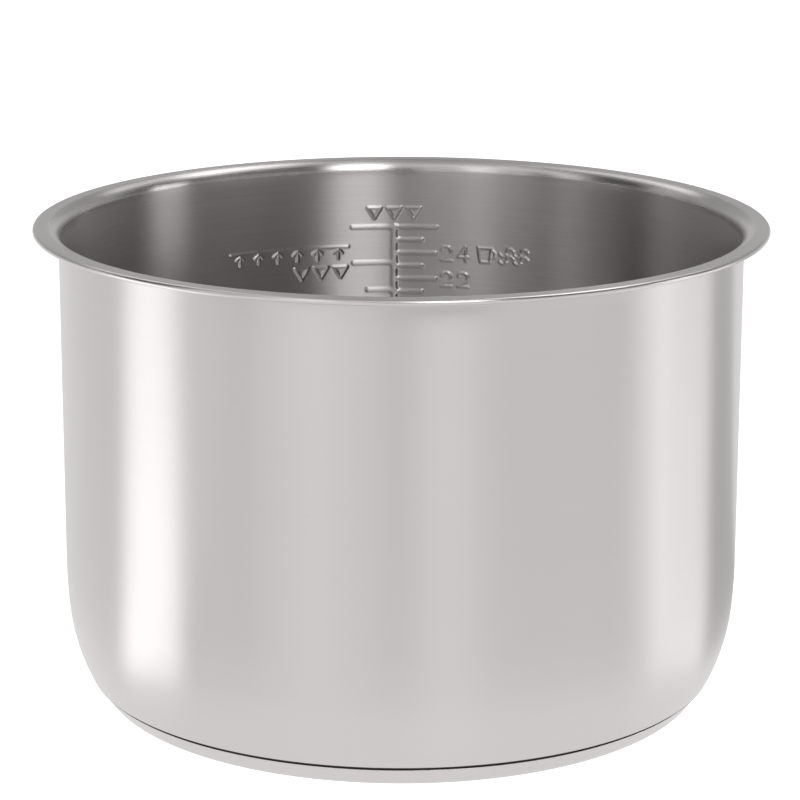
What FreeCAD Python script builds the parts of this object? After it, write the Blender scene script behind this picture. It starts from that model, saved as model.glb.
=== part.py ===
import FreeCAD, Part
import math
import os

# Removable inner pot of an electric pressure cooker: a drawn stainless shell with a folded rim and an
# embossed fill scale, on a capsule base of an aluminium disc brazed between the shell and a steel cap.
# Millimetres, +Z up. The origin is the centre of the underside. The scale is on the +Y side of the wall.

V = FreeCAD.Vector

# Overall sizes
body_diameter = 242.0
pot_height = 172.0
sheet = 0.6

# Rim: the wall turns out, runs flat, and folds under itself
rim_overhang = 9.0          # from the outside of the wall to the rim's edge
lip_thickness = 2.0         # top face to underside of the folded edge
hem_return = 3.0            # how far the folded sheet runs back towards the wall
shoulder_radius = 4.5       # of the inner face, where the wall turns out

# Lower wall: two sweeps, then an edge that turns under at the groove
wall_start = 51.1           # height where the straight wall begins
upper_sweep_radius = 190.0
upper_sweep_turn = 5.2      # degrees
lower_sweep_radius = 69.0
edge_radius = 1.6
floor_fillet = 4.0          # inside, between the lower sweep and the floor

# Capsule base
cap_height = 7.85
groove_gap = 0.5            # open groove between the cap's edge and the shell
cap_inset = 1.35            # the cap's edge stands this far inside the shell's edge
cap_flare = 35.0            # degrees between the cap's side and the vertical
cap_corner_radius = 8.0
cap_sheet = 0.6
braze = 0.15                # each of the two braze layers

# Fill scale: ribs inside, pressed in from outside
cup = 236588.0              # cubic millimetres
litre = 1.0e6
fill_headroom = 25.9        # at least this much height is left above the highest line
pressure_share = 0.9        # of the highest line's volume, for cooking under pressure
relief = 0.45
recess_share = 0.5          # a recess outside is this share of its rib's width
scale_offset = -2.85        # the spine, along the wall from the +Y axis towards +X
spine_width = 2.2
tick_width = 1.9
max_line_half = 16.5
even_tick = 16.2
odd_tick = 10.8
pressure_tick = 16.0
litre_tick = 10.3

# Numerals and pictograms, as strokes with round ends
stroke_width = 1.2
digit_width = 4.0
digit_height = 5.6
digit_pitch = 6.7
cup_numeral_start = 18.7    # from the spine to the first numeral's left edge
litre_numeral_start = -20.0
triangle_width = 5.4
triangle_height = 4.4
triangle_pitch = 7.8
max_sign_rise = 5.5         # from the highest line to the middle of its triangles
pressure_sign_centre = -42.7
pressure_sign_length = 49.0
pressure_sign_height = 4.8
pressure_sign_rise = 4.3
pressure_arrows = 6
pressure_triangles_centre = -29.2
pressure_triangles_drop = 3.5
cup_sign_start = 33.5
wave_radius = 1.5

# Worked out from the sizes above
body_radius = body_diameter / 2
rim_radius = body_radius + rim_overhang
inner_radius = body_radius - sheet
underside = cap_height + groove_gap
floor = underside + sheet
wall_top = pot_height - shoulder_radius


def line(a, b):
    return Part.LineSegment(V(a[0], 0, a[1]), V(b[0], 0, b[1])).toShape()


def on_circle(centre, radius, degrees):
    turn = math.radians(degrees)
    return (centre[0] + radius * math.cos(turn), centre[1] + radius * math.sin(turn))


def arc(centre, radius, start, end):
    """An arc in the XZ plane, from one angle to another, in degrees."""
    points = [on_circle(centre, radius, turn) for turn in (start, (start + end) / 2, end)]
    return Part.Arc(*[V(x, 0, z) for x, z in points]).toShape()


def revolve(edges):
    face = Part.Face(Part.Wire(edges))
    return face.revolve(V(0, 0, 0), V(0, 0, 1), 360)


def tube(inner, outer, low, high):
    corners = [(inner, low), (outer, low), (outer, high), (inner, high)]
    return revolve([line(corners[i], corners[(i + 1) % 4]) for i in range(4)])


def rolled_corner(centre, big_radius, small_radius, flat):
    """Centre and angle of a small arc that turns a big one into the horizontal line z = flat."""
    rise = centre[1] - flat - small_radius
    reach = math.sqrt((big_radius - small_radius) ** 2 - rise ** 2)
    return (centre[0] + reach, flat + small_radius), -math.degrees(math.atan2(rise, reach))


def lower_wall(offset, corner_radius, flat):
    """Edges from the axis out along the flat and up to the straight wall, offset inwards from the outside."""
    upper = (body_radius - upper_sweep_radius, wall_start)
    joint = upper_sweep_radius - lower_sweep_radius
    lower = on_circle(upper, joint, -upper_sweep_turn)
    corner, turn = rolled_corner(lower, lower_sweep_radius - offset, corner_radius, flat)
    return [
        line((0, flat), (corner[0], flat)),
        arc(corner, corner_radius, -90, turn),
        arc(lower, lower_sweep_radius - offset, turn, -upper_sweep_turn),
        arc(upper, upper_sweep_radius - offset, -upper_sweep_turn, 0),
    ]


def rim_edges():
    """Edges from the top of the outer wall round the folded lip and back to the top of the inner wall."""
    bend = (inner_radius + shoulder_radius, wall_top)
    half = lip_thickness / 2
    fold = (rim_radius - half, pot_height - half)
    hem = fold[0] - hem_return
    fold_inner = half - sheet
    return [
        arc(bend, shoulder_radius - sheet, 180, 90),
        line((bend[0], pot_height - sheet), (fold[0], pot_height - sheet)),
        arc(fold, fold_inner, 90, -90),
        line((fold[0], fold[1] - fold_inner), (hem, fold[1] - fold_inner)),
        line((hem, fold[1] - fold_inner), (hem, fold[1] - half)),
        line((hem, fold[1] - half), (fold[0], fold[1] - half)),
        arc(fold, half, -90, 90),
        line((fold[0], pot_height), (bend[0], pot_height)),
        arc(bend, shoulder_radius, 90, 180),
    ]


def plain_shell():
    outside = lower_wall(0, edge_radius, underside)
    inside = lower_wall(sheet, floor_fillet, floor)
    walls = [
        line((0, floor), (0, underside)),
        line((body_radius, wall_start), (body_radius, wall_top)),
        line((inner_radius, wall_top), (inner_radius, wall_start)),
    ]
    return revolve(Part.__sortEdges__(outside + inside + walls + rim_edges()))


def shell_edge_radius():
    """Where the lower sweep ends and the edge starts to turn under."""
    turned = lower_wall(0, edge_radius, underside)[1]
    return turned.BoundBox.XMax


def capsule(inset, top):
    """The base's solid shape, offset inwards by inset and cut off flat at top."""
    flare = math.radians(cap_flare)
    edge = shell_edge_radius() - cap_inset
    cone_foot = cap_corner_radius * (1 - math.sin(flare))
    foot_radius = edge - (cap_height - cone_foot) * math.tan(flare)
    centre = (foot_radius - cap_corner_radius * math.cos(flare), cap_corner_radius)
    radius = cap_corner_radius - inset
    joint = on_circle(centre, radius, -cap_flare)
    side = (joint[0] + (top - joint[1]) * math.tan(flare), top)
    return revolve([
        line((0, inset), (centre[0], inset)),
        arc(centre, radius, -90, -cap_flare),
        line(joint, side),
        line(side, (0, top)),
        line((0, top), (0, inset)),
    ])


def volume_below_wall():
    edges = lower_wall(sheet, floor_fillet, floor)
    close = [line((inner_radius, wall_start), (0, wall_start)), line((0, wall_start), (0, floor))]
    return revolve(Part.__sortEdges__(edges + close)).Volume


def height_at(volume):
    """Height of the water when the pot holds this volume."""
    return wall_start + (volume - volume_below_wall()) / (math.pi * inner_radius ** 2)


def volume_at(height):
    return volume_below_wall() + (height - wall_start) * math.pi * inner_radius ** 2


# Strokes: a straight one is ((x, z), (x, z)), and a curved one is (centre, radius, start, end).
def circle(centre, radius):
    return [(centre, radius, 0, 180), (centre, radius, 180, 360)]


def digit_strokes(digit):
    """Strokes of one numeral on a grid 4 wide and 5.6 high."""
    strokes = {
        "0": [((2, 3.6), 2, 0, 180), ((0, 3.6), (0, 2)), ((2, 2), 2, 180, 360), ((4, 2), (4, 3.6))],
        "1": [((1, 4.6), (2.4, 5.6)), ((2.4, 5.6), (2.4, 0))],
        "2": [((2, 3.7), 1.9, 165, -40), (on_circle((2, 3.7), 1.9, -40), (0.1, 0)), ((0.1, 0), (4, 0))],
        "3": [((1.9, 4.2), 1.4, 150, -90), ((1.9, 1.4), 1.4, 90, -150)],
        "4": [((3, 0), (3, 5.6)), ((3, 5.6), (0, 1.6)), ((0, 1.6), (4, 1.6))],
        "5": [((3.7, 5.6), (0.5, 5.6)), ((0.5, 5.6), on_circle((1.9, 1.85), 1.85, 145)),
              ((1.9, 1.85), 1.85, 145, -150)],
        "6": circle((2, 1.8), 1.8) + [((4.6, 1.8), 4.4, 180, 120)],
        "7": [((0, 5.6), (4, 5.6)), ((4, 5.6), (1.2, 0))],
        "8": circle((2, 4.3), 1.3) + circle((2, 1.5), 1.5),
        "9": circle((2, 3.8), 1.8) + [((-0.6, 3.8), 4.4, 0, -60)],
    }
    return strokes[digit]


def scaled(stroke, size, shift):
    """The stroke made size times as large and moved along by shift, an (x, z) pair."""
    if len(stroke) == 2:
        return tuple((x * size + shift[0], z * size + shift[1]) for x, z in stroke)
    centre, radius, start, end = stroke
    return ((centre[0] * size + shift[0], centre[1] * size + shift[1]), radius * size, start, end)


def numeral(number, start, height):
    """Strokes of a whole number, its left edge at start and its middle at height."""
    size = digit_height / 5.6
    strokes = []
    for place, digit in enumerate(str(number)):
        shift = (start + place * digit_pitch, height - digit_height / 2)
        strokes += [scaled(stroke, size, shift) for stroke in digit_strokes(digit)]
    return strokes


def triangles(centre, height):
    """Three triangles that point down, the sign for a highest level."""
    strokes = []
    for place in (-1, 0, 1):
        middle = centre + place * triangle_pitch
        left = (middle - triangle_width / 2, height + triangle_height / 2)
        right = (middle + triangle_width / 2, height + triangle_height / 2)
        tip = (middle, height - triangle_height / 2)
        strokes += [(left, right), (right, tip), (tip, left)]
    return strokes


def pressure_sign(centre, height):
    """A lid line with arrows that press up against it."""
    half = pressure_sign_height / 2
    ends = pressure_sign_length / 2
    strokes = [((centre - ends, height + half), (centre + ends, height + half))]
    head = pressure_sign_height / 3
    tip = height + half - head / 2
    for place in range(pressure_arrows):
        x = centre - ends + (place + 0.5) * pressure_sign_length / pressure_arrows
        strokes += [((x, height - half), (x, tip)), ((x, tip), (x - head, tip - head)),
                    ((x, tip), (x + head, tip - head))]
    return strokes


def cup_sign(start, height):
    """A measuring cup with its handle, and two waves for a liquid."""
    low, high = height - digit_height / 2, height + digit_height / 2
    wide, foot = start + digit_height, digit_height / 6
    handle = (wide - foot / 2, height + foot / 2)
    strokes = [((start, high), (start + foot, low)), ((start + foot, low), (wide - foot, low)),
               ((wide - foot, low), (wide, high)), ((wide, high), (start, high)),
               (handle, digit_height / 3.5, 75, -95)]
    for level in (-wave_radius, wave_radius):
        for place in range(4):
            centre = (wide + 3 * wave_radius + 2 * wave_radius * place, height + level)
            strokes.append((centre, wave_radius, 150, 30) if place % 2 else (centre, wave_radius, -150, -30))
    return strokes


def ruler():
    """Strokes of the spine and its cross lines, with their widths, and the signs beside them."""
    lines, signs = [], []
    highest = 2 * math.floor(volume_at(pot_height - fill_headroom) / cup / 2)
    lowest = 2 * math.ceil(volume_at(wall_start + tick_width / 2) / cup / 2)
    top, bottom = height_at(highest * cup), height_at(lowest * cup)
    lines.append((((0, bottom), (0, top)), spine_width))
    lines.append((((-max_line_half, top), (max_line_half, top)), tick_width))
    signs.append(triangles(0, top + max_sign_rise))
    for cups in range(lowest, highest):
        height = height_at(cups * cup)
        reach = odd_tick if cups % 2 else even_tick
        lines.append((((0, height), (reach, height)), tick_width))
        if cups % 2 == 0:
            signs.append(numeral(cups, cup_numeral_start, height))
    signs.append(cup_sign(cup_sign_start, height_at((highest - 2) * cup)))
    halves = math.floor(2 * pressure_share * highest * cup / litre)
    pressure = height_at(halves * litre / 2)
    lines.append((((-pressure_tick, pressure), (0, pressure)), tick_width))
    signs.append(pressure_sign(pressure_sign_centre, pressure + pressure_sign_rise))
    signs.append(triangles(pressure_triangles_centre, pressure - pressure_triangles_drop))
    first = math.ceil(2 * volume_at(bottom) / litre)
    for half_litres in range(first, halves):
        height = height_at(half_litres * litre / 2)
        lines.append((((-litre_tick, height), (0, height)), tick_width))
        if half_litres % 2 == 0 and half_litres < halves - 1:
            signs.append(numeral(half_litres // 2, litre_numeral_start, height))
    return lines, signs


def stroke_face(stroke, width):
    """A flat face of even width round the stroke, with round ends."""
    half = width / 2
    if len(stroke) == 2:
        (ax, az), (bx, bz) = stroke
        turn = math.degrees(math.atan2(bz - az, bx - ax))
        a_left, a_right = on_circle(stroke[0], half, turn + 90), on_circle(stroke[0], half, turn - 90)
        b_left, b_right = on_circle(stroke[1], half, turn + 90), on_circle(stroke[1], half, turn - 90)
        edges = [line(a_right, b_right), arc(stroke[1], half, turn - 90, turn + 90),
                 line(b_left, a_left), arc(stroke[0], half, turn + 90, turn + 270)]
        return Part.Face(Part.Wire(edges))
    centre, radius, start, end = stroke
    low, high = min(start, end), max(start, end)
    edges = [arc(centre, radius + half, low, high),
             arc(on_circle(centre, radius, high), half, high, high + 180),
             arc(centre, radius - half, high, low),
             arc(on_circle(centre, radius, low), half, low + 180, low + 360)]
    return Part.Face(Part.Wire(edges))


def pressed(strokes, band):
    """The strokes, (stroke, width) pairs in one sign, pushed straight through a band of the wall."""
    faces = [stroke_face(stroke, width) for stroke, width in strokes]
    xs = [x for face in faces for x in (face.BoundBox.XMin, face.BoundBox.XMax)]
    middle = (min(xs) + max(xs)) / 2
    for face in faces:
        face.translate(V(-middle, inner_radius * 0.8, 0))
    flat = faces[0].multiFuse(faces[1:]).removeSplitter() if len(faces) > 1 else faces[0]
    prism = flat.extrude(V(0, inner_radius * 0.4, 0))
    turn = -math.degrees((scale_offset + middle) / inner_radius)
    prism.rotate(V(0, 0, 0), V(0, 0, 1), turn)
    return prism.common(band)


def pot_shell():
    shell = plain_shell()
    bite = sheet / 2
    inner_band = tube(inner_radius - relief, inner_radius + bite, wall_start - tick_width, wall_top)
    outer_band = tube(body_radius - relief, body_radius + bite, wall_start - tick_width, wall_top)
    lines, signs = ruler()
    groups = [lines] + [[(stroke, stroke_width) for stroke in sign] for sign in signs]
    ribs = [pressed(group, inner_band) for group in groups]
    recesses = [pressed([(s, width * recess_share) for s, width in group], outer_band) for group in groups]
    return shell.cut(recesses).multiFuse(ribs).removeSplitter()


def base_cap():
    return capsule(0, cap_height).cut(capsule(cap_sheet, cap_height + cap_sheet))


def lower_braze_layer():
    return capsule(cap_sheet, cap_height).cut(capsule(cap_sheet + braze, cap_height + cap_sheet))


def core_disc():
    return capsule(cap_sheet + braze, underside - braze)


def upper_braze_layer():
    rim = core_disc().Faces
    top = max(rim, key=lambda face: face.CenterOfMass.z)
    return top.extrude(V(0, 0, braze))


nodes = {
    "pot_shell": pot_shell(),
    "upper_braze_layer": upper_braze_layer(),
    "core_disc": core_disc(),
    "lower_braze_layer": lower_braze_layer(),
    "base_cap": base_cap(),
}

os.makedirs("parts", exist_ok=True)
for name, shape in nodes.items():
    solids = len(shape.Solids)
    print(f"{name}: {solids} solid, valid {shape.isValid()}, {shape.Volume / 1000:.1f} cm3")
    shape.exportStep(f"parts/{name}.step")
print(f"brim volume {volume_at(wall_top) / litre:.2f} l below the shoulder")
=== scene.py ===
import math

import bpy
import numpy as np
from mathutils import Matrix, Vector
from mathutils.geometry import delaunay_2d_cdt


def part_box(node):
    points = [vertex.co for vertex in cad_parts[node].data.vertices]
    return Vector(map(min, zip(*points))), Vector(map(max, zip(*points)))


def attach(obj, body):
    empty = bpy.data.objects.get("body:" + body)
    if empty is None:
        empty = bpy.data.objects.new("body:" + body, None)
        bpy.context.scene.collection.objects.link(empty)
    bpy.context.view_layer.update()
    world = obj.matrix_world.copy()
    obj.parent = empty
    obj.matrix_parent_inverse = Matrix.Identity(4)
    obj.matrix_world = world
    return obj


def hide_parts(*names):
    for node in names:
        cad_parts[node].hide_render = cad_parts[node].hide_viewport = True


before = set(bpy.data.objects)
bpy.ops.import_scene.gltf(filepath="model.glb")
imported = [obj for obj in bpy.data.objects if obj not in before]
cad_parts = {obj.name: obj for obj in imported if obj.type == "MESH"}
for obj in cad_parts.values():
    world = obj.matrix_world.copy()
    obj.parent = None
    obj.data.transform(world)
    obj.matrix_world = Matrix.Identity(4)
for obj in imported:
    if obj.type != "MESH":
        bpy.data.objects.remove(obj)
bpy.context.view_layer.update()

# The shell, in millimetres. Heights that the frame knows come from the frame.
MM = 0.001
BODY_RADIUS = 121.0
RIM_OVERHANG = 9.0
SHEET = 0.6
POT_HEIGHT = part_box("pot_shell")[1][2] / MM
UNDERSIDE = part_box("pot_shell")[0][2] / MM
FLOOR = UNDERSIDE + SHEET
LIP_THICKNESS = 2.0
HEM_RETURN = 3.0
SHOULDER_RADIUS = 4.5
WALL_START = 51.1
UPPER_SWEEP_RADIUS = 190.0
UPPER_SWEEP_TURN = 5.2
LOWER_SWEEP_RADIUS = 69.0
EDGE_RADIUS = 1.6
FLOOR_FILLET = 4.0
INNER_RADIUS = BODY_RADIUS - SHEET
WALL_TOP = POT_HEIGHT - SHOULDER_RADIUS

# The base cap
CAP_HEIGHT = 7.85
CAP_INSET = 1.35
CAP_FLARE = 35.0
CAP_CORNER_RADIUS = 8.0
CAP_SHEET = 0.6
CAP_EDGE_ROUND = 0.15

# The fill scale
CUP = 236588.0
LITRE = 1.0e6
HIGHEST_CUPS = 26
LOWEST_CUPS = 10
PRESSURE_HALVES = 11
LOWEST_HALVES = 5
RELIEF = 0.5
RECESS = 0.35
SCALE_OFFSET = -2.85
SPINE_WIDTH = 2.2
TICK_WIDTH = 1.9
STROKE_WIDTH = 1.2
MAX_LINE_HALF = 16.5
EVEN_TICK = 16.2
ODD_TICK = 10.8
PRESSURE_TICK = 16.0
LITRE_TICK = 10.3
DIGIT_HEIGHT = 5.6
DIGIT_PITCH = 6.7
CUP_NUMERAL_START = 18.7
LITRE_NUMERAL_START = -20.0
TRIANGLE_WIDTH = 5.4
TRIANGLE_HEIGHT = 4.4
TRIANGLE_PITCH = 7.8
MAX_SIGN_RISE = 5.5
PRESSURE_SIGN_CENTRE = -42.7
PRESSURE_SIGN_LENGTH = 49.0
PRESSURE_SIGN_HEIGHT = 4.8
PRESSURE_SIGN_RISE = 4.3
PRESSURE_ARROWS = 6
PRESSURE_TRIANGLES_CENTRE = -29.2
PRESSURE_TRIANGLES_DROP = 3.5
CUP_SIGN_START = 33.5
WAVE_RADIUS = 1.5

# How finely the surfaces are divided
COLUMNS = 256
COLUMN = 2 * math.pi * INNER_RADIUS / COLUMNS
ROW = 2 * COLUMN
FINE_IN_COLUMN = 8
FINE_IN_ROW = 2 * FINE_IN_COLUMN
FINEST = COLUMN / FINE_IN_COLUMN
REFINED_WITHIN = {1: 0.75, 2: 1.4, 4: 3.2, 8: 100.0}     # reach from a rib's edge of each lattice step
PATCH_MARGIN = 3.0                    # plain wall kept round the scale within the patch

# A rib rises from SLOPE_OUT outside its edge to SLOPE_IN inside it.
SLOPE_OUT = 0.45
SLOPE_IN = 0.75
JUNCTION_BLEND = 2.4                  # per millimetre; a smaller value rounds the ruler's corners more
RECESS_NARROWER = 0.25                # the recesses outside are this much narrower on each side


# ---------------------------------------------------------------- outlines of revolution
def on_circle(centre, radius, degrees):
    turn = math.radians(degrees)
    return (centre[0] + radius * math.cos(turn), centre[1] + radius * math.sin(turn))


def line(a, b, step=12.0):
    """Points along a line with their outward normals, which lie to the right of the way it runs."""
    length = math.hypot(b[0] - a[0], b[1] - a[1])
    normal = ((b[1] - a[1]) / length, (a[0] - b[0]) / length)
    count = max(1, math.ceil(length / step))
    return [((a[0] + (b[0] - a[0]) * i / count, a[1] + (b[1] - a[1]) * i / count), normal)
            for i in range(count + 1)]


def arc(centre, radius, start, end, step=6.0):
    """Points along an arc. Run anticlockwise it is convex, run clockwise it is concave."""
    count = max(2, math.ceil(abs(end - start) / step))
    side = 1 if end > start else -1
    points = []
    for i in range(count + 1):
        turn = start + (end - start) * i / count
        unit = on_circle((0, 0), side, turn)
        points.append((on_circle(centre, radius, turn), unit))
    return points


def rolled_corner(centre, big_radius, small_radius, flat):
    """The small arc that joins a big one to a flat height: its centre, and the angle where they meet."""
    rise = centre[1] - flat - small_radius
    reach = math.sqrt((big_radius - small_radius) ** 2 - rise ** 2)
    return (centre[0] + reach, flat + small_radius), -math.degrees(math.atan2(rise, reach))


UPPER = (BODY_RADIUS - UPPER_SWEEP_RADIUS, WALL_START)
LOWER = on_circle(UPPER, UPPER_SWEEP_RADIUS - LOWER_SWEEP_RADIUS, -UPPER_SWEEP_TURN)
EDGE, EDGE_TURN = rolled_corner(LOWER, LOWER_SWEEP_RADIUS, EDGE_RADIUS, UNDERSIDE)
FILLET, FILLET_TURN = rolled_corner(LOWER, LOWER_SWEEP_RADIUS - SHEET, FLOOR_FILLET, FLOOR)


def volume_at(height):
    """Water held up to a height on the straight wall, summed in thin discs below it."""
    levels = np.linspace(FLOOR, WALL_START, 2001)
    middle = (levels[1:] + levels[:-1]) / 2
    fillet = FILLET[0] + np.sqrt(np.clip(FLOOR_FILLET ** 2 - (FILLET[1] - middle) ** 2, 0, None))
    reach = LOWER_SWEEP_RADIUS - SHEET
    lower = LOWER[0] + np.sqrt(np.clip(reach ** 2 - (LOWER[1] - middle) ** 2, 0, None))
    reach = UPPER_SWEEP_RADIUS - SHEET
    upper = UPPER[0] + np.sqrt(reach ** 2 - (UPPER[1] - middle) ** 2)
    in_fillet = middle < FILLET[1] + FLOOR_FILLET * math.sin(math.radians(FILLET_TURN))
    in_lower = middle < LOWER[1] - reach_height(LOWER_SWEEP_RADIUS - SHEET)
    radius = np.where(in_fillet, fillet, np.where(in_lower, lower, upper))
    low = float((math.pi * radius ** 2).sum() * (levels[1] - levels[0]))
    return low + (height - WALL_START) * math.pi * INNER_RADIUS ** 2


def reach_height(radius):
    """How far below its centre an arc of this radius is after the upper sweep's turn."""
    return radius * math.sin(math.radians(UPPER_SWEEP_TURN))


def height_at(volume):
    """The height on the straight wall that this much water reaches."""
    return WALL_START + (volume - volume_at(WALL_START)) / (math.pi * INNER_RADIUS ** 2)


# ---------------------------------------------------------------- the fill scale
def curve(centre, radius, start, end):
    """A curved stroke as a run of points."""
    count = max(4, math.ceil(abs(end - start) / 15))
    return [on_circle(centre, radius, start + (end - start) * i / count) for i in range(count + 1)]


def digit_strokes(digit):
    """Strokes of one numeral on a grid 4 wide and 5.6 high."""
    strokes = {
        "0": [curve((2, 3.6), 2, 0, 180) + curve((2, 2), 2, 180, 360) + [(4, 3.6)]],
        "1": [[(1, 4.6), (2.4, 5.6), (2.4, 0)]],
        "2": [curve((2, 3.7), 1.9, 165, -40) + [(0.1, 0), (4, 0)]],
        "3": [curve((1.9, 4.2), 1.4, 150, -90) + curve((1.9, 1.4), 1.4, 90, -150)],
        "4": [[(3, 0), (3, 5.6), (0, 1.6), (4, 1.6)]],
        "6": [curve((2, 1.8), 1.8, 0, 360), curve((4.6, 1.8), 4.4, 180, 120)],
        "8": [curve((2, 4.3), 1.3, 0, 360), curve((2, 1.5), 1.5, 0, 360)],
    }
    return strokes[digit]


def numeral(number, start, height):
    """The strokes of a number whose left edge is at start, centred on a height."""
    strokes = []
    for place, digit in enumerate(str(number)):
        left, low = start + place * DIGIT_PITCH, height - DIGIT_HEIGHT / 2
        strokes += [[(x + left, z + low) for x, z in stroke] for stroke in digit_strokes(digit)]
    return strokes


def triangles(centre, height):
    """Three triangles in a row that point down."""
    strokes = []
    for place in (-1, 0, 1):
        middle = centre + place * TRIANGLE_PITCH
        left = (middle - TRIANGLE_WIDTH / 2, height + TRIANGLE_HEIGHT / 2)
        right = (middle + TRIANGLE_WIDTH / 2, height + TRIANGLE_HEIGHT / 2)
        strokes.append([left, right, (middle, height - TRIANGLE_HEIGHT / 2), left])
    return strokes


def pressure_sign(centre, height):
    """A lid line with arrows that press up against it."""
    half, ends = PRESSURE_SIGN_HEIGHT / 2, PRESSURE_SIGN_LENGTH / 2
    head = PRESSURE_SIGN_HEIGHT / 3
    tip = height + half - head / 2
    strokes = [[(centre - ends, height + half), (centre + ends, height + half)]]
    for place in range(PRESSURE_ARROWS):
        x = centre - ends + (place + 0.5) * PRESSURE_SIGN_LENGTH / PRESSURE_ARROWS
        strokes.append([(x, height - half), (x, tip)])
        strokes.append([(x - head, tip - head), (x, tip), (x + head, tip - head)])
    return strokes


def cup_sign(start, height):
    """A measuring cup with its handle, and two waves for a liquid."""
    low, high = height - DIGIT_HEIGHT / 2, height + DIGIT_HEIGHT / 2
    wide, foot = start + DIGIT_HEIGHT, DIGIT_HEIGHT / 6
    cup = [(start, high), (start + foot, low), (wide - foot, low), (wide, high), (start, high)]
    strokes = [cup, curve((wide - foot / 2, height + foot / 2), DIGIT_HEIGHT / 3.5, 75, -95)]
    for level in (-WAVE_RADIUS, WAVE_RADIUS):
        for place in range(4):
            centre = (wide + 3 * WAVE_RADIUS + 2 * WAVE_RADIUS * place, height + level)
            strokes.append(curve(centre, WAVE_RADIUS, *((150, 30) if place % 2 else (-150, -30))))
    return strokes


def ruler():
    """The spine and cross lines as (start, end, width), and the strokes of every sign beside them."""
    top, bottom = height_at(HIGHEST_CUPS * CUP), height_at(LOWEST_CUPS * CUP)
    pressure = height_at(PRESSURE_HALVES * LITRE / 2)
    lines = [((0, bottom), (0, top), SPINE_WIDTH),
             ((-MAX_LINE_HALF, top), (MAX_LINE_HALF, top), TICK_WIDTH),
             ((-PRESSURE_TICK, pressure), (0, pressure), TICK_WIDTH)]
    signs = triangles(0, top + MAX_SIGN_RISE)
    for cups in range(LOWEST_CUPS, HIGHEST_CUPS):
        height = height_at(cups * CUP)
        lines.append(((0, height), (ODD_TICK if cups % 2 else EVEN_TICK, height), TICK_WIDTH))
        if cups % 2 == 0:
            signs += numeral(cups, CUP_NUMERAL_START, height)
    signs += cup_sign(CUP_SIGN_START, height_at((HIGHEST_CUPS - 2) * CUP))
    signs += pressure_sign(PRESSURE_SIGN_CENTRE, pressure + PRESSURE_SIGN_RISE)
    signs += triangles(PRESSURE_TRIANGLES_CENTRE, pressure - PRESSURE_TRIANGLES_DROP)
    for halves in range(LOWEST_HALVES, PRESSURE_HALVES):
        height = height_at(halves * LITRE / 2)
        lines.append(((-LITRE_TICK, height), (0, height), TICK_WIDTH))
        if halves % 2 == 0 and halves < PRESSURE_HALVES - 1:
            signs += numeral(halves // 2, LITRE_NUMERAL_START, height)
    return lines, signs


def distance(points, a, b):
    """Distance of each point from the stroke a to b."""
    a, b = np.array(a, float), np.array(b, float)
    length_squared = max((b - a) @ (b - a), 1e-12)
    along = np.clip(((points - a) @ (b - a)) / length_squared, 0, 1)
    return np.linalg.norm(points - a - along[:, None] * (b - a), axis=1)


LINES, SIGNS = ruler()


def edge_distance(points):
    """How far each point of the unrolled wall is outside the nearest rib's edge, in millimetres.
    The ruler's lines flow into each other, and the signs stay crisp."""
    blend = np.zeros(len(points))
    for a, b, width in LINES:
        blend += np.exp(-JUNCTION_BLEND * np.minimum(distance(points, a, b) - width / 2, 20))
    nearest = -np.log(blend + 1e-30) / JUNCTION_BLEND
    for stroke in SIGNS:
        xs, zs = [p[0] for p in stroke], [p[1] for p in stroke]
        near = ((points[:, 0] > min(xs) - 6) & (points[:, 0] < max(xs) + 6)
                & (points[:, 1] > min(zs) - 6) & (points[:, 1] < max(zs) + 6))
        if near.any():
            close = np.min([distance(points[near], a, b) for a, b in zip(stroke, stroke[1:])], axis=0)
            nearest[near] = np.minimum(nearest[near], close - STROKE_WIDTH / 2)
    return nearest


def swell(points, narrower=0.0):
    """0 on the plain wall, 1 on top of a rib, and smooth between them."""
    rise = (SLOPE_OUT - edge_distance(points) - narrower) / (SLOPE_OUT + SLOPE_IN)
    return 0.5 - 0.5 * np.cos(math.pi * np.clip(rise, 0, 1))


def sloped(points, height, narrower):
    """The pressed height at each point, and its slopes along the wall and up it."""
    step = 0.04
    move_s, move_z = np.array([step, 0]), np.array([0, step])
    value = height * swell(points, narrower)
    slope_s = height * (swell(points + move_s, narrower) - swell(points - move_s, narrower)) / (2 * step)
    slope_z = height * (swell(points + move_z, narrower) - swell(points - move_z, narrower)) / (2 * step)
    return value, slope_s, slope_z


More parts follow.
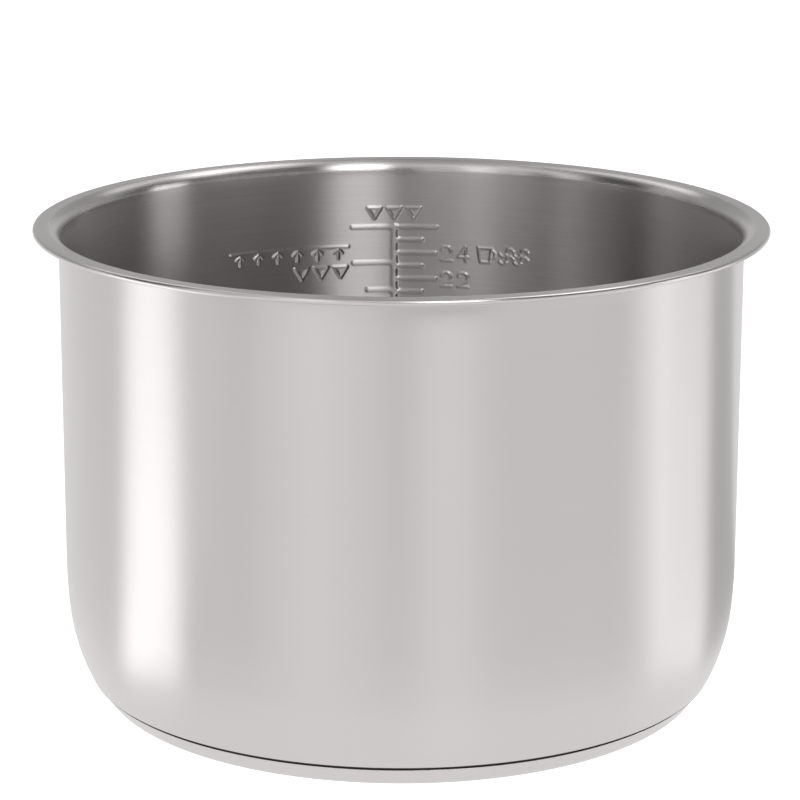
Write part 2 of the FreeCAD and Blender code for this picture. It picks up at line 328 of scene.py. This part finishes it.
# ---------------------------------------------------------------- meshes
class Surface:
    """Vertices with exact normals, and faces, gathered before they become one mesh."""

    def __init__(self):
        self.points, self.normals, self.faces, self.kinds = [], [], [], []
        self.moved = []
        self.count = 0

    def add(self, points, normals):
        first = self.count
        self.points.append(np.asarray(points, float))
        self.normals.append(np.asarray(normals, float))
        self.count += len(points)
        return first

    def ring(self, point, normal):
        if point[0] < 1e-9:
            return self.add([(0, 0, point[1])], [(0, 0, normal[1])]), 1
        turn = 2 * math.pi * np.arange(COLUMNS) / COLUMNS
        around = np.stack([np.sin(turn), np.cos(turn), np.zeros(COLUMNS)], 1)
        up = np.array([0, 0, 1.0])
        return self.add(around * point[0] + up * point[1], around * normal[0] + up * normal[1]), COLUMNS

    def band(self, low, high, kind, skip=()):
        (a, a_size), (b, b_size) = low, high
        for j in range(COLUMNS):
            if j in skip:
                continue
            k = (j + 1) % COLUMNS
            if a_size == 1:
                self.faces.append((a, b + j, b + k))
            elif b_size == 1:
                self.faces.append((a + j, b, a + k))
            else:
                self.faces.append((a + j, b + j, b + k, a + k))
            self.kinds.append(kind)

    def build(self, name, materials):
        mesh = bpy.data.meshes.new(name)
        points = np.concatenate(self.points)
        normals = np.concatenate(self.normals)
        for index, place, normal in self.moved:
            points[index] = place
            normals[index] = normal
        mesh.from_pydata((points * MM).tolist(), [], self.faces)
        for material in materials:
            mesh.materials.append(material)
        mesh.polygons.foreach_set("material_index", self.kinds)
        mesh.polygons.foreach_set("use_smooth", [True] * len(self.faces))
        mesh.update()
        mesh.normals_split_custom_set_from_vertices(normals.tolist())
        piece = bpy.data.objects.new(name, mesh)
        bpy.context.collection.objects.link(piece)
        return piece


def rings_of(outline):
    """The outline's points without the doubled ones where stretches meet, and each band's material."""
    rings, kinds = [], []
    for stretch, kind in outline:
        for point, normal in stretch:
            if rings and math.dist(rings[-1][0], point) < 1e-6:
                continue
            if rings:
                kinds.append(kind)
            rings.append((point, normal))
    return rings, kinds


def turned_piece(name, outline, materials):
    """A closed piece of revolution. Its outline runs from the axis, round the outside and back."""
    surface = Surface()
    rings, kinds = rings_of(outline)
    rows = [surface.ring(point, normal) for point, normal in rings]
    for low, high, kind in zip(rows, rows[1:], kinds):
        surface.band(low, high, kind)
    return surface.build(name, materials)


# The part of the wall that carries the scale, in whole columns and rows
SCALE_LEFT = PRESSURE_SIGN_CENTRE - PRESSURE_SIGN_LENGTH / 2 + SCALE_OFFSET
SCALE_RIGHT = CUP_SIGN_START + DIGIT_HEIGHT + 10 * WAVE_RADIUS + SCALE_OFFSET
FIRST_COLUMN = math.floor((SCALE_LEFT - PATCH_MARGIN) / COLUMN)
LAST_COLUMN = math.ceil((SCALE_RIGHT + PATCH_MARGIN) / COLUMN)
PATCH_LOW = height_at(LOWEST_CUPS * CUP) - 4
PATCH_ROWS = math.ceil((height_at(HIGHEST_CUPS * CUP) + MAX_SIGN_RISE + 7 - PATCH_LOW) / ROW)


def patch_points():
    """Points of the unrolled patch: a coarse lattice, refined in steps towards the ribs. The lattice comes
    first, row by row, so that it can be shared with the plain wall around it."""
    columns = np.arange(FIRST_COLUMN, LAST_COLUMN + 1) * COLUMN
    rows = PATCH_LOW + np.arange(PATCH_ROWS + 1) * ROW
    lattice = np.array([(s, z) for z in rows for s in columns])
    left, right, top = FIRST_COLUMN * FINE_IN_COLUMN, LAST_COLUMN * FINE_IN_COLUMN, PATCH_ROWS * FINE_IN_ROW
    fine_s = np.arange(left, right + 1)
    fine_z = np.arange(top + 1)
    index_s, index_z = (grid.ravel() for grid in np.meshgrid(fine_s, fine_z))
    points = np.stack([index_s * FINEST, PATCH_LOW + index_z * FINEST], 1)
    gap = edge_distance(points - (SCALE_OFFSET, 0))
    keep = np.zeros(len(points), bool)
    for level, reach in REFINED_WITHIN.items():
        keep |= (index_s % level == 0) & (index_z % level == 0) & (gap < reach)
    inside = (index_s > left) & (index_s < right) & (index_z > 0) & (index_z < top)
    on_lattice = (index_s % FINE_IN_COLUMN == 0) & (index_z % FINE_IN_ROW == 0)
    return np.concatenate([lattice, points[keep & inside & ~on_lattice]]), len(columns)


def patch_faces(points):
    """The patch's triangles, each running anticlockwise in the unrolled wall."""
    flat = [Vector((float(s), float(z))) for s, z in points]
    _, _, faces, origins, _, _ = delaunay_2d_cdt(flat, [], [], 0, 1e-7)
    back = [origin[0] for origin in origins]
    triangles_found = []
    for face in faces:
        a, b, c = (back[i] for i in face)
        area = np.cross(points[b] - points[a], points[c] - points[a])
        if abs(area) > 1e-9:
            triangles_found.append((a, b, c) if area > 0 else (a, c, b))
    return triangles_found


def wall_outline(low, high, radius, normal):
    """The straight wall from low to high, with a ring at each row of the patch."""
    rows = [PATCH_LOW + i * ROW for i in range(PATCH_ROWS + 1)]
    heights = [low, (low + rows[0]) / 2, *rows, (rows[-1] + high) / 2, high]
    return [((radius, z), normal) for z in heights]


# The shell's materials, in the order of its slots; the last is the groove's painted shade
OUTSIDE, INSIDE, RIM, GROOVE_SHADE = range(4)


def pot_outline():
    """The shell's section, from the axis under the base, up the outside, over the rim and down inside."""
    half = LIP_THICKNESS / 2
    bend = (INNER_RADIUS + SHOULDER_RADIUS, WALL_TOP)
    fold = (BODY_RADIUS + RIM_OVERHANG - half, POT_HEIGHT - half)
    hem = (fold[0] - HEM_RETURN, POT_HEIGHT - LIP_THICKNESS + SHEET / 2)
    outer = wall_outline(WALL_START, WALL_TOP, BODY_RADIUS, (1, 0))
    inner = wall_outline(WALL_START, WALL_TOP, INNER_RADIUS, (-1, 0))[::-1]
    lower_inner = LOWER_SWEEP_RADIUS - SHEET
    upper_inner = UPPER_SWEEP_RADIUS - SHEET
    return [
        (line((0, UNDERSIDE), (EDGE[0], UNDERSIDE), 40), OUTSIDE),
        # The rolled edge just above the groove is painted near-black: painted shade of the groove between
        # shell and cap.
        (arc(EDGE, EDGE_RADIUS, -90, EDGE_TURN), GROOVE_SHADE),
        (arc(LOWER, LOWER_SWEEP_RADIUS, EDGE_TURN, -UPPER_SWEEP_TURN, 1.8), OUTSIDE),
        (arc(UPPER, UPPER_SWEEP_RADIUS, -UPPER_SWEEP_TURN, 0, 0.9), OUTSIDE),
        (outer, OUTSIDE),
        (arc(bend, SHOULDER_RADIUS - SHEET, 180, 90), OUTSIDE),
        (line((bend[0], POT_HEIGHT - SHEET), (fold[0], POT_HEIGHT - SHEET)), OUTSIDE),
        (arc(fold, half - SHEET, 90, -90, 20), OUTSIDE),
        (line((fold[0], hem[1] + SHEET / 2), (hem[0], hem[1] + SHEET / 2)), OUTSIDE),
        (arc(hem, SHEET / 2, 90, 270, 30), OUTSIDE),
        (line((hem[0], hem[1] - SHEET / 2), (fold[0], hem[1] - SHEET / 2)), OUTSIDE),
        (arc(fold, half, -90, 90, 7.5), RIM),
        (line((fold[0], POT_HEIGHT), (bend[0], POT_HEIGHT), 1.5), RIM),
        (arc(bend, SHOULDER_RADIUS, 90, 180, 3.75), INSIDE),
        (inner, INSIDE),
        (arc(UPPER, upper_inner, 0, -UPPER_SWEEP_TURN, 0.9), INSIDE),
        (arc(LOWER, lower_inner, -UPPER_SWEEP_TURN, FILLET_TURN, 1.8), INSIDE),
        (arc(FILLET, FLOOR_FILLET, FILLET_TURN, -90), INSIDE),
        (line((FILLET[0], FLOOR), (0, FLOOR), 25), INSIDE),
    ]


class PressedFace:
    """A face of the wall that carries the scale. side is 1 outside and -1 inside, depth is how far the scale
    moves it inwards, and kind is its material."""

    def __init__(self, side, radius, depth, narrower, kind):
        self.side, self.radius, self.depth = side, radius, depth
        self.narrower, self.kind = narrower, kind


OUTER_FACE = PressedFace(side=1, radius=BODY_RADIUS, depth=RECESS, narrower=RECESS_NARROWER, kind=OUTSIDE)
INNER_FACE = PressedFace(side=-1, radius=INNER_RADIUS, depth=RELIEF, narrower=0.0, kind=INSIDE)


def pressed_places(face, points):
    """Where the patch's points lie on a face of the round wall, and their normals."""
    value, slope_s, slope_z = sloped(points - (SCALE_OFFSET, 0), face.depth, face.narrower)
    turn = points[:, 0] / INNER_RADIUS
    out = np.stack([np.sin(turn), np.cos(turn), 0 * turn], 1)
    along = np.stack([np.cos(turn), -np.sin(turn), 0 * turn], 1)
    up = np.array([0, 0, 1.0])
    place = out * (face.radius - value)[:, None] + up * points[:, 1:2]
    normal = face.side * (out + along * slope_s[:, None] + up * slope_z[:, None])
    normal /= np.linalg.norm(normal, axis=1)[:, None]
    return place, normal


def press_patch(surface, face, rows, points, triangles_found, width):
    """Fills the gap left in one face of the wall with the pressed scale. The patch's lattice, width columns
    wide, takes over the vertices of the wall's rings."""
    place, normal = pressed_places(face, points)
    shared = width * (PATCH_ROWS + 1)
    first = surface.add(place[shared:], normal[shared:])
    index = np.arange(len(points)) - shared + first
    for row in range(PATCH_ROWS + 1):
        ring = rows[row][0]
        for column in range(width):
            own = row * width + column
            index[own] = ring + (FIRST_COLUMN + column) % COLUMNS
            surface.moved.append((index[own], place[own], normal[own]))
    for a, b, c in triangles_found:
        corners = (index[a], index[b], index[c]) if face.side < 0 else (index[a], index[c], index[b])
        surface.faces.append(tuple(int(i) for i in corners))
        surface.kinds.append(face.kind)


def rows_in_patch(rings):
    """Which rings of the outline are rows of the patch: the row's number and the way its wall faces."""
    found = {}
    for i, (point, normal) in enumerate(rings):
        row = round((point[1] - PATCH_LOW) / ROW)
        on_row = 0 <= row <= PATCH_ROWS and abs(PATCH_LOW + row * ROW - point[1]) < 1e-6
        if on_row and abs(normal[1]) < 1e-9:
            found[i] = (row, normal[0])
    return found


def pot_piece(name, materials):
    surface = Surface()
    rings, kinds = rings_of(pot_outline())
    rows = [surface.ring(point, normal) for point, normal in rings]
    points, width = patch_points()
    triangles_found = patch_faces(points)
    gap = {column % COLUMNS for column in range(FIRST_COLUMN, LAST_COLUMN)}
    patch_rows = rows_in_patch(rings)
    for i, kind in enumerate(kinds):
        in_patch = i in patch_rows and i + 1 in patch_rows
        surface.band(rows[i], rows[i + 1], kind, gap if in_patch else ())
    for face in (OUTER_FACE, INNER_FACE):
        own = {row: rows[i] for i, (row, facing) in patch_rows.items() if facing * face.side > 0}
        press_patch(surface, face, own, points, triangles_found, width)
    return surface.build(name, materials)


def cap_piece(name, materials):
    """The base cap: a shallow dish with a flared side and a small round on its cut edge."""
    flare = math.radians(CAP_FLARE)
    edge = on_circle(LOWER, LOWER_SWEEP_RADIUS, EDGE_TURN)[0] - CAP_INSET
    foot_height = CAP_CORNER_RADIUS * (1 - math.sin(flare))
    centre = (edge - (CAP_HEIGHT - foot_height) * math.tan(flare) - CAP_CORNER_RADIUS * math.cos(flare),
              CAP_CORNER_RADIUS)
    inner_radius = CAP_CORNER_RADIUS - CAP_SHEET
    outer_joint = on_circle(centre, CAP_CORNER_RADIUS, -CAP_FLARE)
    inner_joint = on_circle(centre, inner_radius, -CAP_FLARE)
    inner_edge = inner_joint[0] + (CAP_HEIGHT - inner_joint[1]) * math.tan(flare)
    small = CAP_EDGE_ROUND
    # Each round on the cut edge touches the top face and one side of the sheet.
    out_round = (edge - small * (math.tan(flare) + 1 / math.cos(flare)), CAP_HEIGHT - small)
    in_round = (inner_edge + small * (1 / math.cos(flare) - math.tan(flare)), CAP_HEIGHT - small)
    out_touch = on_circle(out_round, small, -CAP_FLARE)
    in_touch = on_circle(in_round, small, 180 - CAP_FLARE)
    return turned_piece(name, [
        (line((0, 0), (centre[0], 0), 25), OUTSIDE),
        (arc(centre, CAP_CORNER_RADIUS, -90, -CAP_FLARE, 3), OUTSIDE),
        (line(outer_joint, out_touch, 2), OUTSIDE),
        (arc(out_round, small, -CAP_FLARE, 90, 15), OUTSIDE),
        (line((out_round[0], CAP_HEIGHT), (in_round[0], CAP_HEIGHT)), INSIDE),
        (arc(in_round, small, 90, 180 - CAP_FLARE, 15), INSIDE),
        (line(in_touch, inner_joint, 2), INSIDE),
        (arc(centre, inner_radius, -CAP_FLARE, -90, 6), INSIDE),
        (line((centre[0], CAP_SHEET), (0, CAP_SHEET), 40), INSIDE),
    ], materials)


# ---------------------------------------------------------------- materials
STEEL_COLOUR = (0.635, 0.612, 0.605)
POLISH_START = WALL_TOP - 4
POLISH_END = WALL_TOP + 1


def node(tree, kind, **values):
    made = tree.nodes.new(kind)
    for key, value in values.items():
        setattr(made, key, value)
    return made


def math_node(tree, operation, a, b=None, c=None):
    made = node(tree, "ShaderNodeMath", operation=operation)
    for place, value in enumerate((a, b, c)):
        if value is None:
            continue
        if isinstance(value, (int, float)):
            made.inputs[place].default_value = value
        else:
            tree.links.new(value, made.inputs[place])
    return made.outputs[0]


def ramp(tree, value, low, high, out_low, out_high):
    """A smooth step of value between low and high, from out_low to out_high."""
    made = node(tree, "ShaderNodeMapRange", interpolation_type="SMOOTHSTEP")
    tree.links.new(value, made.inputs[0])
    for place, number in enumerate((low, high, out_low, out_high)):
        made.inputs[place + 1].default_value = number
    return made.outputs[0]


def object_place(tree):
    """The place on the object and its x, y and z, in metres."""
    place = node(tree, "ShaderNodeTexCoord").outputs["Object"]
    split = node(tree, "ShaderNodeSeparateXYZ")
    tree.links.new(place, split.inputs[0])
    return place, tuple(split.outputs)


def distance_from_axis(tree, x, y):
    squares = math_node(tree, "ADD", math_node(tree, "MULTIPLY", x, x), math_node(tree, "MULTIPLY", y, y))
    return math_node(tree, "SQRT", squares)


def round_coordinates(tree, along, across):
    """Coordinates that run round the axis slowly and across the surface fast, for turned or brushed grain."""
    _, (x, y, z) = object_place(tree)
    radius = math_node(tree, "MAXIMUM", distance_from_axis(tree, x, y), 0.001)
    profile = math_node(tree, "ADD", radius, z)
    joined = node(tree, "ShaderNodeCombineXYZ")
    tree.links.new(math_node(tree, "MULTIPLY", math_node(tree, "DIVIDE", x, radius), along), joined.inputs[0])
    tree.links.new(math_node(tree, "MULTIPLY", math_node(tree, "DIVIDE", y, radius), along), joined.inputs[1])
    tree.links.new(math_node(tree, "MULTIPLY", profile, across), joined.inputs[2])
    return joined.outputs[0]


def noise(tree, vector, scale, detail=2.0, roughness=0.5):
    made = node(tree, "ShaderNodeTexNoise")
    made.inputs["Scale"].default_value = scale
    made.inputs["Detail"].default_value = detail
    made.inputs["Roughness"].default_value = roughness
    tree.links.new(vector, made.inputs["Vector"])
    return made.outputs["Fac"]


def colour_by(tree, shader, colour, tone):
    """The base colour, lighter and darker by a tone around 1."""
    mix = node(tree, "ShaderNodeVectorMath", operation="SCALE")
    mix.inputs[0].default_value = colour
    tree.links.new(tone, mix.inputs["Scale"])
    tree.links.new(mix.outputs[0], shader.inputs["Base Color"])


def wandering_roughness(tree, roughness, spread, polish):
    """A roughness that wanders by spread in bands and patches, and is smoother by polish on the shoulder."""
    bands = noise(tree, round_coordinates(tree, 1.2, 900.0), 1.0, 2.0)
    place, (_, _, z) = object_place(tree)
    patches = noise(tree, place, 14.0, 3.0)
    wander = math_node(tree, "ADD", math_node(tree, "MULTIPLY", bands, 0.6),
                       math_node(tree, "MULTIPLY", patches, 0.4))
    wandering = ramp(tree, wander, 0.3, 0.7, roughness - spread, roughness + spread)
    smoother = ramp(tree, z, POLISH_START * MM, POLISH_END * MM, 0.0, polish)
    return math_node(tree, "SUBTRACT", wandering, smoother)


def brush(tree, shader, lines, depth):
    """Fine raised lines, and a highlight spread across them."""
    bump = node(tree, "ShaderNodeBump")
    bump.inputs["Strength"].default_value = 1.0
    bump.inputs["Distance"].default_value = depth
    tree.links.new(lines, bump.inputs["Height"])
    tree.links.new(bump.outputs[0], shader.inputs["Normal"])
    tangent = node(tree, "ShaderNodeTangent", direction_type="RADIAL", axis="Z")
    tree.links.new(tangent.outputs[0], shader.inputs["Tangent"])
    shader.inputs["Anisotropic Rotation"].default_value = 0.25


def steel(name, roughness, spread, anisotropic, grain, grain_depth, polish=0.0):
    """Steel brushed round the axis. spread is how much the roughness wanders, grain how strong the lines are,
    and polish how much smoother it is on the shoulder."""
    material = bpy.data.materials.new(name)
    material.use_nodes = True
    tree = material.node_tree
    shader = tree.nodes["Principled BSDF"]
    shader.inputs["Metallic"].default_value = 1.0
    shader.inputs["Anisotropic"].default_value = anisotropic
    lines = noise(tree, round_coordinates(tree, 3.0, 4500.0), 1.0, 3.0, 0.65)
    tree.links.new(wandering_roughness(tree, roughness, spread, polish), shader.inputs["Roughness"])
    colour_by(tree, shader, STEEL_COLOUR, ramp(tree, lines, 0.25, 0.75, 1 - grain, 1 + grain))
    brush(tree, shader, lines, grain_depth)
    return material


def dull_metal(name, colour, roughness, metallic, gloss):
    """Braze or bare aluminium as it shows in the groove, and the groove's painted shade: dull, with a fine
    mottled stain.
    """
    material = bpy.data.materials.new(name)
    material.use_nodes = True
    tree = material.node_tree
    shader = tree.nodes["Principled BSDF"]
    shader.inputs["Metallic"].default_value = metallic
    shader.inputs["Specular IOR Level"].default_value = gloss
    place, _ = object_place(tree)
    stain = noise(tree, place, 900.0, 3.0)
    colour_by(tree, shader, colour, ramp(tree, stain, 0.3, 0.7, 0.7, 1.2))
    tree.links.new(ramp(tree, stain, 0.3, 0.7, roughness - 0.1, roughness + 0.1), shader.inputs["Roughness"])
    return material


# ---------------------------------------------------------------- studio
FLOOR_HALF = 9.0
FLOOR_DROP = 0.0002
FLOOR_BOUNCE = 0.25
FLOOR_GLOW = 0.72                     # what the pot mirrors; the open floor is a clean white to the eye
FLOOR_WHITE = 1.2
NEAR_GLOW = 0.13                      # the floor close to the pot's foot shines a little more
NEAR_START = 0.14
NEAR_END = 0.24
HORIZON_GLOW = 0.6                    # fades out between these elevations, in degrees
HORIZON_START = 6
HORIZON_END = 14
OVERHEAD_GLOW = 0.4                   # comes in between these
OVERHEAD_START = 62
OVERHEAD_END = 74


class SoftBox:
    """A soft box on the studio's dome, between two elevations. Azimuth runs from the camera's side towards
    +X. Degrees."""
    LOW_BLUR, HIGH_BLUR = 3, 4

    def __init__(self, azimuth, half_width, softness, low, high, power):
        self.azimuth, self.half_width, self.softness = azimuth, half_width, softness
        self.low, self.high, self.power = low, high, power


SOFT_BOXES = [
    SoftBox(azimuth=-25, half_width=58, softness=12, low=34, high=69, power=0.97),     # wide fill, in front
    SoftBox(azimuth=17, half_width=11, softness=5, low=25, high=52, power=5.0),        # tall strip in front
    SoftBox(azimuth=-29, half_width=6, softness=7, low=13, high=41, power=1.15),
    SoftBox(azimuth=-27, half_width=21, softness=8, low=0, high=26, power=0.75),
    SoftBox(azimuth=-64, half_width=6, softness=15, low=12, high=34, power=1.3),       # left
    SoftBox(azimuth=-108, half_width=9, softness=8, low=14, high=28, power=0.8),
    SoftBox(azimuth=50, half_width=22, softness=20, low=0, high=20, power=0.50),
    SoftBox(azimuth=90, half_width=8, softness=5, low=6, high=16, power=3.8),          # right
    SoftBox(azimuth=125, half_width=30, softness=14, low=50, high=72, power=2.2),      # high on the right
    SoftBox(azimuth=-150, half_width=14, softness=16, low=33, high=61, power=1.4),     # two behind the pot
    SoftBox(azimuth=150, half_width=12, softness=16, low=33, high=65, power=1.2),
    SoftBox(azimuth=180, half_width=60, softness=30, low=9, high=28, power=0.4),       # backdrop
    SoftBox(azimuth=180, half_width=60, softness=30, low=28, high=70, power=0.35),
]


class Panel:
    """A light panel, or a grey card with a negative power, lying beside the pot, to the left (-1) or the
    right (1). It widens from near_y, near_half at START to far_y, far_half at START + REACH. Metres."""
    START, REACH, END_BLUR = 0.15, 0.45, 0.02

    def __init__(self, side, near_y, far_y, near_half, far_half, blur, power):
        self.side, self.near_y, self.far_y = side, near_y, far_y
        self.near_half, self.far_half = near_half, far_half
        self.blur, self.power = blur, power


PANELS = [
    Panel(side=-1, near_y=-0.080, far_y=-0.070, near_half=0.030, far_half=0.125, blur=0.45, power=1.02),
    Panel(side=1, near_y=-0.050, far_y=0.115, near_half=0.030, far_half=0.180, blur=0.35, power=0.42),
    Panel(side=1, near_y=0.050, far_y=0.480, near_half=0.070, far_half=0.180, blur=0.25, power=-0.33),
]


def panel_glow(tree, panel, x, y):
    """How brightly a panel shines at a place on the floor."""
    out = math_node(tree, "MULTIPLY", x, float(panel.side))
    along = math_node(tree, "DIVIDE", math_node(tree, "SUBTRACT", out, Panel.START), Panel.REACH)
    along = math_node(tree, "MINIMUM", math_node(tree, "MAXIMUM", along, 0.0), 2.0)
    middle = math_node(tree, "MULTIPLY_ADD", along, panel.far_y - panel.near_y, panel.near_y)
    half = math_node(tree, "MULTIPLY_ADD", along, panel.far_half - panel.near_half, panel.near_half)
    away = math_node(tree, "ABSOLUTE", math_node(tree, "SUBTRACT", y, middle))
    wide = ramp(tree, math_node(tree, "DIVIDE", away, half), 1 - panel.blur, 1 + panel.blur, panel.power, 0.0)
    begun = ramp(tree, out, Panel.START - Panel.END_BLUR, Panel.START + Panel.END_BLUR, 0.0, 1.0)
    return math_node(tree, "MULTIPLY", wide, begun)


def floor_glow(tree):
    """What the floor shines onto the pot at each place."""
    _, (x, y, _) = object_place(tree)
    radius = distance_from_axis(tree, x, y)
    glow = ramp(tree, radius, NEAR_START, NEAR_END, FLOOR_GLOW + NEAR_GLOW, FLOOR_GLOW)
    for panel in PANELS:
        glow = math_node(tree, "ADD", panel_glow(tree, panel, x, y), glow)
    return glow


def floor_material():
    material = bpy.data.materials.new("studio_white")
    material.use_nodes = True
    tree = material.node_tree
    shader = tree.nodes["Principled BSDF"]
    shader.inputs["Base Color"].default_value = (FLOOR_BOUNCE, FLOOR_BOUNCE, FLOOR_BOUNCE, 1)
    shader.inputs["Roughness"].default_value = 1.0
    shader.inputs["Specular IOR Level"].default_value = 0.0
    shader.inputs["Emission Color"].default_value = (1, 1, 1, 1)
    plain = node(tree, "ShaderNodeMix")
    tree.links.new(node(tree, "ShaderNodeLightPath").outputs["Is Camera Ray"], plain.inputs["Factor"])
    tree.links.new(floor_glow(tree), plain.inputs["A"])
    plain.inputs["B"].default_value = FLOOR_WHITE
    tree.links.new(plain.outputs["Result"], shader.inputs["Emission Strength"])
    return material


def floor_piece():
    mesh = bpy.data.meshes.new("studio_floor")
    corners = [(x * FLOOR_HALF, y * FLOOR_HALF, -FLOOR_DROP) for x, y in ((-1, -1), (1, -1), (1, 1), (-1, 1))]
    mesh.from_pydata(corners, [], [(0, 1, 2, 3)])
    mesh.materials.append(floor_material())
    piece = bpy.data.objects.new("studio_floor", mesh)
    bpy.context.collection.objects.link(piece)


def box_glow(tree, box, azimuth, elevation):
    """How brightly a soft box shines from a direction."""
    away = math_node(tree, "SUBTRACT", azimuth, math.radians(box.azimuth))
    away = math_node(tree, "ABSOLUTE", math_node(tree, "WRAP", away, math.pi, -math.pi))
    half, soft = box.half_width, box.softness / 2
    wide = ramp(tree, away, math.radians(half - soft), math.radians(half + soft), box.power, 0.0)
    low, high = SoftBox.LOW_BLUR, SoftBox.HIGH_BLUR
    above = ramp(tree, elevation, math.radians(box.low - low), math.radians(box.low + low), 0.0, 1.0)
    below = ramp(tree, elevation, math.radians(box.high - high), math.radians(box.high + high), 1.0, 0.0)
    return math_node(tree, "MULTIPLY", math_node(tree, "MULTIPLY", wide, above), below)


def studio_world():
    """The dome with its soft boxes as the pot mirrors it. The camera sees it plain white."""
    world = bpy.data.worlds.new("studio")
    bpy.context.scene.world = world
    world.use_nodes = True
    tree = world.node_tree
    background = tree.nodes["Background"]
    background.inputs["Color"].default_value = (1, 1, 1, 1)
    split = node(tree, "ShaderNodeSeparateXYZ")
    tree.links.new(node(tree, "ShaderNodeTexCoord").outputs["Generated"], split.inputs[0])
    x, y, z = split.outputs
    elevation = math_node(tree, "ARCSINE", z)
    azimuth = math_node(tree, "ARCTAN2", x, math_node(tree, "MULTIPLY", y, -1.0))
    light = ramp(tree, elevation, math.radians(HORIZON_START), math.radians(HORIZON_END), HORIZON_GLOW, 0.0)
    start, end = math.radians(OVERHEAD_START), math.radians(OVERHEAD_END)
    light = math_node(tree, "ADD", light, ramp(tree, elevation, start, end, 0.0, OVERHEAD_GLOW))
    for box in SOFT_BOXES:
        light = math_node(tree, "ADD", box_glow(tree, box, azimuth, elevation), light)
    seen = node(tree, "ShaderNodeLightPath").outputs["Is Camera Ray"]
    light = math_node(tree, "MAXIMUM", light, seen)
    tree.links.new(light, background.inputs["Strength"])


CAMERA_PLACE = (-0.4, -1077.5, 385.1)         # millimetres
CAMERA_PITCH = 14.512                         # degrees down
CAMERA_ROLL = 0.103
LENS = 139.3
SENSOR_WIDTH = 36.0


def camera():
    data = bpy.data.cameras.new("camera")
    data.lens = LENS
    data.sensor_width = SENSOR_WIDTH
    eye = bpy.data.objects.new("camera", data)
    pitch = Matrix.Rotation(math.radians(90 - CAMERA_PITCH), 4, "X")
    roll = Matrix.Rotation(math.radians(CAMERA_ROLL), 4, "Z")
    eye.matrix_world = Matrix.Translation(Vector(CAMERA_PLACE) * MM) @ (pitch @ roll)
    bpy.context.collection.objects.link(eye)
    bpy.context.scene.camera = eye


# ---------------------------------------------------------------- the object
satin = steel("shell_outside", roughness=0.30, spread=0.01, anisotropic=0.9, grain=0.008, grain_depth=1e-6)
brushed = steel("shell_inside", roughness=0.42, spread=0.03, anisotropic=1.0, grain=0.06, grain_depth=3e-6,
                polish=0.14)
rim_steel = steel("shell_rim", roughness=0.30, spread=0.02, anisotropic=0.75, grain=0.01, grain_depth=1e-6)
cap_steel = steel("cap_outside", roughness=0.3, spread=0.01, anisotropic=0.8, grain=0.01, grain_depth=1e-6)
# Painted shade of the groove between shell and cap: near-black on the shell's rolled edge and on the cap's
# top edge and inner side.
groove_painted_shade = dull_metal("groove_painted_shade", (0.014, 0.013, 0.012), roughness=0.7, metallic=0.0, gloss=0.1)
stained_aluminium = dull_metal("stained_aluminium", (0.055, 0.054, 0.053), roughness=0.55, metallic=0.6,
                               gloss=0.5)
dark_braze = dull_metal("dark_braze", (0.035, 0.03, 0.026), roughness=0.65, metallic=0.4, gloss=0.3)

shell = pot_piece("shell", [satin, brushed, rim_steel, groove_painted_shade])
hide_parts("pot_shell")
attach(shell, "root")

# The cap's top edge and inner side take the groove's painted shade.
cap = cap_piece("cap", [cap_steel, groove_painted_shade])
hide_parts("base_cap")
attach(cap, "root")

for name, metal in (("upper_braze_layer", dark_braze), ("core_disc", stained_aluminium),
                    ("lower_braze_layer", dark_braze)):
    inner = bpy.data.objects[name]
    inner.data.materials.clear()
    inner.data.materials.append(metal)

floor_piece()
studio_world()
camera()
bpy.context.scene.view_settings.view_transform = "Standard"
